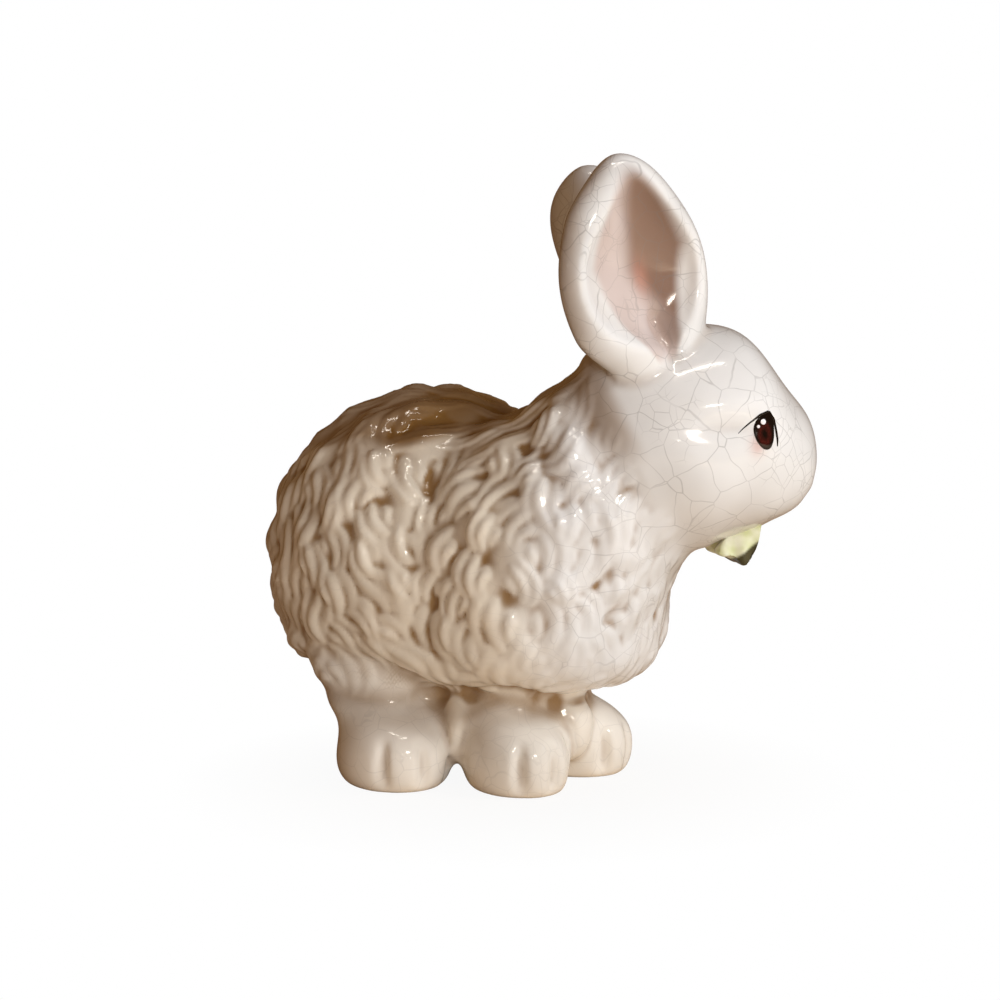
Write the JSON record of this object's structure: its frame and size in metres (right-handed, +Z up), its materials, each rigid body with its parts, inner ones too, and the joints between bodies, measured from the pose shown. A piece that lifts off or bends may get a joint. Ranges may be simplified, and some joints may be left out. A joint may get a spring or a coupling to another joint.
{
  "type": "rabbit figurine",
  "caption": "Crouching rabbit ornament in crazed ivory glazed ceramic, with curled moulded fur, upright ears, its head turned to its left and a salad leaf in its mouth; it stands on its paws.",
  "frame": {"origin": "middle of the bounding box on the plane of the soles", "axes": "+X the way the trunk faces, +Y to the rabbit's left, +Z up"},
  "size_m": [0.2038, 0.1204, 0.218],
  "materials": {
    "ivory_crackle_glaze": "glossy crazed glaze over off-white earthenware",
    "green_leaf_glaze": "glossy glaze, pale yellow-green with an olive tip",
    "dark_eye_enamel": "glossy brushed enamel"
  },
  "bodies": {
    "root": {"body_casting": "ivory_crackle_glaze", "head_casting": "ivory_crackle_glaze", "right_ear": "ivory_crackle_glaze", "left_ear": "ivory_crackle_glaze", "right_front_foot": "ivory_crackle_glaze", "left_front_foot": "ivory_crackle_glaze", "right_rear_foot": "ivory_crackle_glaze", "left_rear_foot": "ivory_crackle_glaze", "tail": "ivory_crackle_glaze", "leaf": "green_leaf_glaze", "right_eye": "dark_eye_enamel", "left_eye": "dark_eye_enamel"}
  },
  "joints": []
}
